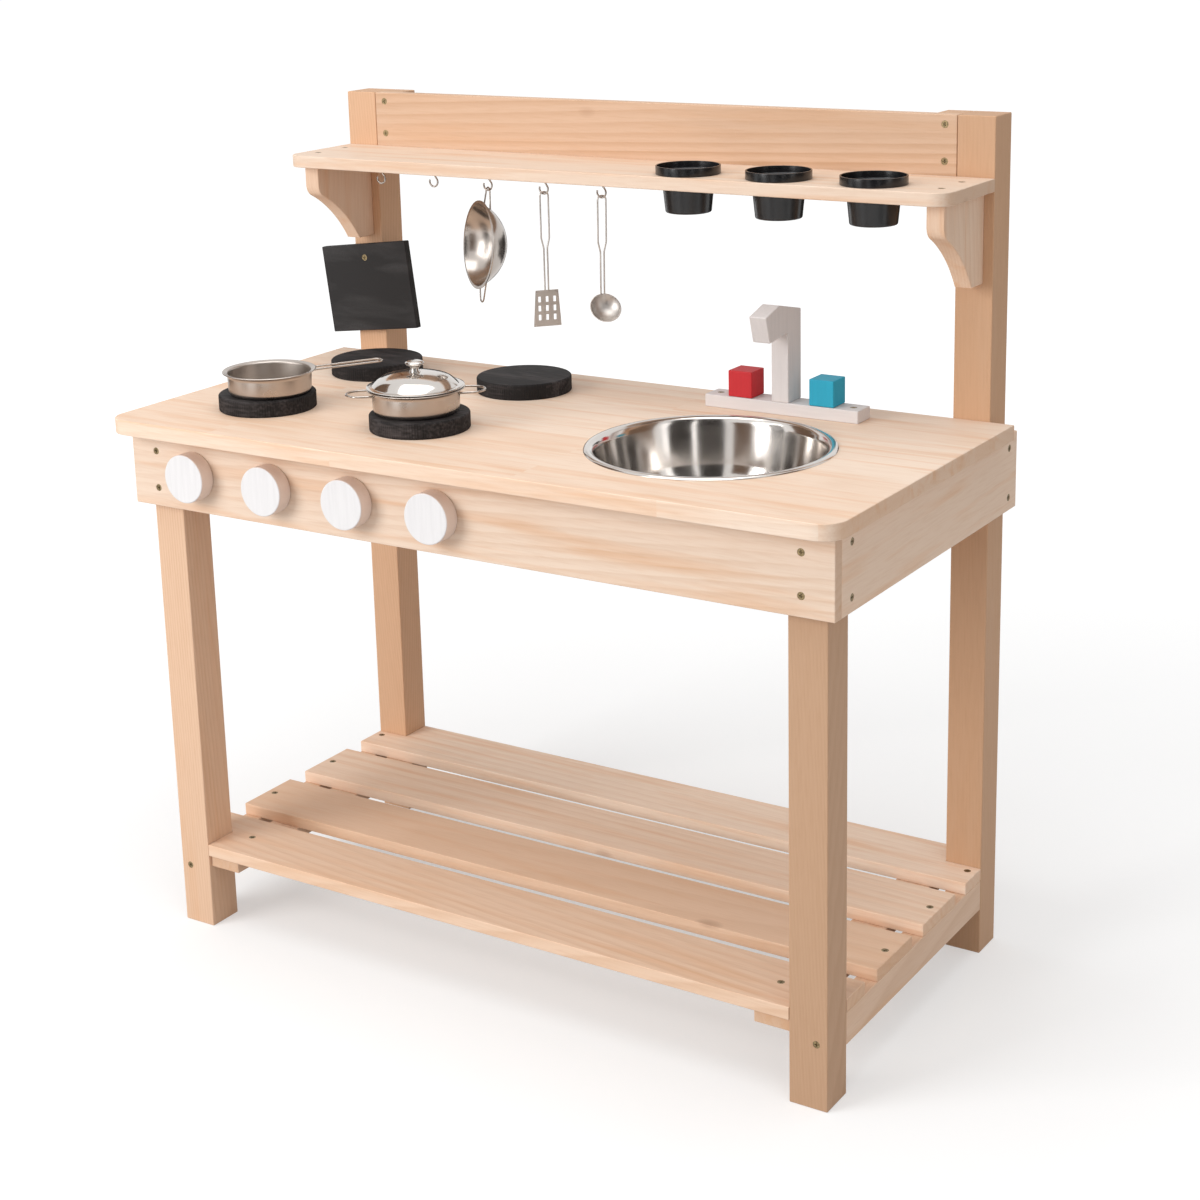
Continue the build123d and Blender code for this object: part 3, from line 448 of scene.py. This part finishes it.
def outline_of(centre, corners):
    """A bmesh with an open outline beside a vertical axis, its corners rounded.

    Each corner is a radius, a height above the foot and how far from the corner its rounding starts.
    """
    model = bmesh.new()
    points = [model.verts.new(centre + Vector((radius, 0, height))) for radius, height, _ in corners]
    for first, second in zip(points, points[1:]):
        model.edges.new((first, second))
    for point, (_, _, rounding) in zip(points, corners):
        if rounding:
            bmesh.ops.bevel(
                model,
                geom=[point],
                offset=rounding,
                affect="VERTICES",
                segments=CORNER_STEPS,
                profile=0.5,
                material=-1,
            )
    return model


def spin(model, centre, steps=TURNING_STEPS):
    """Turn an outline once round its axis, and close its poles."""
    bmesh.ops.spin(
        model,
        geom=model.verts[:] + model.edges[:],
        cent=centre,
        axis=(0, 0, 1),
        angle=2 * pi,
        steps=steps,
        use_merge=True,
    )
    bmesh.ops.remove_doubles(model, verts=model.verts, dist=MERGE_DISTANCE)
    bmesh.ops.recalc_face_normals(model, faces=model.faces)


def stand_for(node, body, name, model, material):
    """Make a piece of a bmesh, and let it stand for a CAD node on its body."""
    for face in model.faces:
        face.smooth = True
    mesh = bpy.data.meshes.new(name)
    model.to_mesh(mesh)
    model.free()
    mesh.materials.append(material)
    piece = bpy.data.objects.new(name, mesh)
    bpy.context.scene.collection.objects.link(piece)
    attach(piece, body)
    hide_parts(node)


def foot_and_size(node):
    """The middle of a node's foot, half its width and its height."""
    lowest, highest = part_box(node)
    foot = Vector(((lowest.x + highest.x) / 2, (lowest.y + highest.y) / 2, lowest.z))
    return foot, (highest.x - lowest.x) / 2, highest.z - lowest.z


def make_sink(material):
    """The sink bowl, spun from sheet, with a rolled rim and a flat floor."""
    foot, rim, height = foot_and_size("sink_bowl")
    mouth = rim - SINK_LIP
    neck = mouth - SINK_SHOULDER_STEP
    base = rim - SINK_TAPER
    shoulder = height - SINK_SHOULDER
    lip_foot = height - SINK_LIP_DEPTH
    corners = [
        (0, SHEET, 0),
        (base, SHEET, SINK_FLOOR_ROUND),
        (neck, shoulder, 0.003),
        (mouth, height - 0.0022, 0.0015),
        (mouth + 0.0035, height, 0.0018),
        (rim - 0.002, height - 0.0006, 0.0015),
        (rim, lip_foot, 0.0008),
        (mouth + SHEET, lip_foot, 0.0005),
        (neck + SHEET, shoulder - SHEET, 0.003),
        (base + SHEET, 0, SINK_FLOOR_ROUND),
        (0, 0, 0),
    ]
    model = outline_of(foot, corners)
    spin(model, foot)
    stand_for("sink_bowl", "sink_body", "spun_sink", model, material)


def make_pan(node, body, material):
    """A small steel pan with a nearly straight wall and a turned-out rim."""
    foot, rim, height = foot_and_size(node)
    wall = rim - PAN_LIP
    corners = [
        (0, SHEET, 0),
        (wall - SHEET, SHEET, 0.005),
        (wall - SHEET, height - 0.0022, 0.0016),
        (rim - 0.001, height, 0.0008),
        (rim, height - 0.0013, 0.0006),
        (wall + 0.001, height - 0.0032, 0.0012),
        (wall, height - 0.0060, 0.0012),
        (wall - PAN_TAPER, 0, 0.006),
        (0, 0, 0),
    ]
    model = outline_of(foot, corners)
    spin(model, foot)
    stand_for(node, body, f"spun_{node}", model, material)


def make_lid(material):
    """The casserole's lid, a smooth dome inside a flat flange."""
    foot, rim, height = foot_and_size("casserole_lid")
    dome = rim - LID_FLANGE
    crown = dome * LID_CROWN
    side = dome * LID_SIDE
    side_height = height * LID_SIDE_HEIGHT
    corners = [
        (0, height, 0),
        (crown, height, LID_CROWN_ROUND),
        (side, side_height, LID_SIDE_ROUND),
        (dome, 0.0022, 0.003),
        (rim - 0.002, 0.0018, 0.001),
        (rim, 0.0010, 0.0006),
        (rim - 0.002, 0.0002, 0.0006),
        (dome - SHEET, 0.0008, 0.002),
        (side - SHEET, side_height - SHEET, LID_SIDE_ROUND),
        (crown, height - SHEET, LID_CROWN_ROUND),
        (0, height - SHEET, 0),
    ]
    model = outline_of(foot, corners)
    spin(model, foot)
    stand_for("casserole_lid", "lid_body", "spun_lid", model, material)


def make_lid_knob(material):
    """The turned knob on the lid, a waist under a wide head, drawn in shares of its size."""
    foot, head, height = foot_and_size("lid_knob")
    corners = [
        (0, 0, 0),
        (head * 0.60, 0, 0.0004),
        (head * 0.50, height * 0.16, 0.0015),
        (head * 0.40, height * 0.46, 0.003),
        (head * 0.96, height * 0.68, 0.002),
        (head, height * 0.84, 0.0012),
        (head * 0.80, height, 0.002),
        (0, height, 0),
    ]
    model = outline_of(foot, corners)
    spin(model, foot)
    stand_for("lid_knob", "lid_body", "turned_lid_knob", model, material)


def make_pots(material):
    """Plant pots with a deep collar, a step below it and a thin wall."""
    for number in (1, 2, 3):
        node = f"plant_pot_{number}"
        foot, rim, height = foot_and_size(node)
        neck = rim - POT_COLLAR_STEP
        base = rim - POT_TAPER
        collar = height - POT_COLLAR
        corners = [
            (0, POT_WALL, 0),
            (base - POT_WALL, POT_WALL, 0.002),
            (neck - POT_WALL, collar - 0.002, 0.0012),
            (rim - POT_WALL, collar + POT_WALL, 0.0012),
            (rim - POT_WALL, height, 0.0005),
            (rim, height, 0.0005),
            (rim, collar, 0.0008),
            (neck, collar, 0.0008),
            (base, 0, 0.002),
            (0, 0, 0),
        ]
        model = outline_of(foot, corners)
        spin(model, foot)
        stand_for(node, f"{node}_body", f"moulded_pot_{number}", model, material)


def saw_ribs(model, foot, edge, seed):
    """Press the saw's ribs into the edge of a disc, deeper and shallower in turn round it."""
    for vert in model.verts:
        arm = Vector((vert.co.x - foot.x, vert.co.y - foot.y, 0))
        if arm.length > edge - SAW_REACH:
            angle = atan2(arm.y, arm.x)
            share = 1 - SAW_UNEVEN + SAW_UNEVEN * sin(SAW_WAVES * angle + seed)
            rib = (1 + cos(SAW_RIBS * angle)) * share / 2
            vert.co -= arm.normalized() * SAW_DEPTH * rib


def make_burners():
    """Burner discs cut from plank, with the saw's ribs round their edges."""
    burners = [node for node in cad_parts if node.endswith("burner")]
    for seed, node in enumerate(burners, 1):
        foot, edge, height = foot_and_size(node)
        corners = [
            (0, 0, 0),
            (edge, 0, BURNER_FOOT_ROUND),
            (edge, height, BURNER_TOP_ROUND),
            (0, height, 0),
        ]
        model = outline_of(foot, corners)
        spin(model, foot, RIB_STEPS * SAW_RIBS)
        saw_ribs(model, foot, edge, seed)
        stand_for(node, "kitchen", f"sawn_{node}", model, stained(f"stain_{node}", seed))


def seen(tree):
    """1 for rays that show the surroundings, straight or in a reflection, and 0 for rays that light."""
    path = add(tree, "ShaderNodeLightPath")
    mirrored = calc(tree, "MAXIMUM", path.outputs["Is Glossy Ray"], path.outputs["Is Transmission Ray"])
    return calc(tree, "MAXIMUM", path.outputs["Is Camera Ray"], mirrored)


def make_panel(name, middle, across, up, material):
    """A flat rectangle on the stage, from its middle and half of each side."""
    middle, across, up = map(Vector, (middle, across, up))
    model = bmesh.new()
    signs = ((-1, -1), (1, -1), (1, 1), (-1, 1))
    model.faces.new([model.verts.new(middle + x * across + y * up) for x, y in signs])
    mesh = bpy.data.meshes.new(name)
    model.to_mesh(mesh)
    model.free()
    mesh.materials.append(material)
    panel = bpy.data.objects.new(name, mesh)
    bpy.context.scene.collection.objects.link(panel)
    return panel


def make_floor():
    """A white floor that keeps the object's shadow and runs into a white surround."""
    material, tree, bsdf = shader("floor_white", FLOOR_GREY, roughness=0.9)
    bsdf.inputs["Specular IOR Level"].default_value = 0.0
    bsdf.inputs["Emission Color"].default_value = (1, 1, 1, 1)
    distance = add(tree, "ShaderNodeVectorMath", {0: place(tree)}, operation="LENGTH").outputs["Value"]
    glow = ramp(tree, distance, FLOOR_GLOW_START, FLOOR_GLOW_END, FLOOR_GLOW_FAR, FLOOR_GLOW_NEAR)
    tree.links.new(calc(tree, "MULTIPLY", glow, seen(tree)), bsdf.inputs["Emission Strength"])
    make_panel("floor", (0, 0, 0), (FLOOR_HALF, 0, 0), (0, FLOOR_HALF, 0), material)


def make_cards():
    """Dark and brown cards round the room, which only reflections see.

    Each has a name, its middle, half its width, half its height and its material.
    """
    dark = shader("card_dark", CARD_DARK, roughness=0.9)[0]
    brown = shader("card_brown", CARD_BROWN, roughness=0.9)[0]
    cards = (
        ("left", (-1.7, -0.3, 1.2), (0.05, 0.60, 0), (0, 0, 1.2), brown),
        ("front_left", (-1.3, -1.7, 1.0), (0.30, -0.24, 0), (0, 0, 1.0), dark),
        ("front", (0.05, -2.0, 0.9), (0.35, 0, 0), (0, 0, 0.9), brown),
        ("front_right", (1.6, -2.5, 1.8), (0.62, 0.40, 0), (0, 0, 1.8), dark),
        ("right_front", (2.0, -1.0, 1.5), (0.14, 0.45, 0), (0, 0, 1.5), dark),
        ("right", (1.9, 0.6, 1.4), (-0.1, 0.60, 0), (0, 0, 1.4), brown),
        ("back", (0.5, 1.9, 0.45), (0.75, 0, 0), (0, 0, 0.45), dark),
        ("back_left", (-1.2, 1.6, 0.45), (0.45, 0.26, 0), (0, 0, 0.45), dark),
    )
    for name, middle, across, up, material in cards:
        card = make_panel(f"card_{name}", middle, across, up, material)
        card.visible_camera = False
        card.visible_diffuse = False
        card.visible_shadow = False


def make_lights():
    """A broad key from the front left, a weak fill from the right and a soft top light.

    Each has a name, its place, its power in watts and its width.
    """
    lights = (
        ("key", (-2.1, -3.3, 1.9), 106, 2.2),
        ("fill", (2.9, -1.6, 1.5), 15, 2.5),
        ("top", (0.1, -0.5, 3.4), 42, 2.6),
    )
    aim = Vector(LIGHT_AIM)
    for name, spot, energy, width in lights:
        lamp = bpy.data.lights.new(name, "AREA")
        lamp.energy = energy
        lamp.size = width
        light = bpy.data.objects.new(name, lamp)
        light.location = spot
        light.rotation_euler = (aim - Vector(spot)).to_track_quat("-Z", "Y").to_euler()
        bpy.context.scene.collection.objects.link(light)


def make_world():
    """A surround that shows white and lights plainly."""
    world = bpy.data.worlds.new("surround")
    bpy.context.scene.world = world
    world.use_nodes = True
    tree = world.node_tree
    background = tree.nodes["Background"]
    background.inputs["Color"].default_value = (1, 1, 1, 1)
    strength = ramp(tree, seen(tree), low=0.0, high=1.0, top=1.0, bottom=WORLD_LIGHT)
    tree.links.new(strength, background.inputs["Strength"])


def make_camera():
    """The camera, from its place and angles."""
    azimuth, elevation, roll = map(radians, (CAMERA_AZIMUTH, CAMERA_ELEVATION, CAMERA_ROLL))
    back = Vector((sin(azimuth) * cos(elevation), -cos(azimuth) * cos(elevation), sin(elevation)))
    level = Vector((cos(azimuth), sin(azimuth), 0))
    upright = back.cross(level)
    right = cos(roll) * level + sin(roll) * upright
    up = cos(roll) * upright - sin(roll) * level
    data = bpy.data.cameras.new("camera")
    data.lens = CAMERA_LENS
    data.shift_y = CAMERA_SHIFT
    camera = bpy.data.objects.new("camera", data)
    bpy.context.scene.collection.objects.link(camera)
    camera.matrix_world = Matrix((right, up, back)).transposed().to_4x4()
    camera.location = CAMERA_PLACE
    bpy.context.scene.camera = camera
    bpy.context.scene.view_settings.view_transform = "Standard"


make_floor()
make_cards()
make_lights()
make_world()
make_camera()

# Pans, wok and wire handles use steel darkened as painted reflection
pan_steel = steel("pan_steel", STEEL_PAINTED_DARK, roughness=0.28)
utensil_steel = steel("utensil_steel", SINK_STEEL, roughness=0.34)
wok_steel = steel("wok_steel", STEEL_PAINTED_DARK, roughness=0.20)
wire_steel = steel("wire_steel", STEEL_PAINTED_DARK, roughness=0.22)
sink_steel = steel("sink_steel", SINK_STEEL, roughness=0.13)
lid_steel = steel("lid_steel", SINK_STEEL, roughness=0.11)

finish_wood()
finish_paint()
finish_steel(wok_steel, utensil_steel, wire_steel)
make_sink(sink_steel)
make_pan("saucepan", "saucepan_body", pan_steel)
make_pan("casserole", "casserole_body", pan_steel)
make_lid(lid_steel)
make_lid_knob(lid_steel)
make_pots(plastic("black_plastic"))
make_burners()
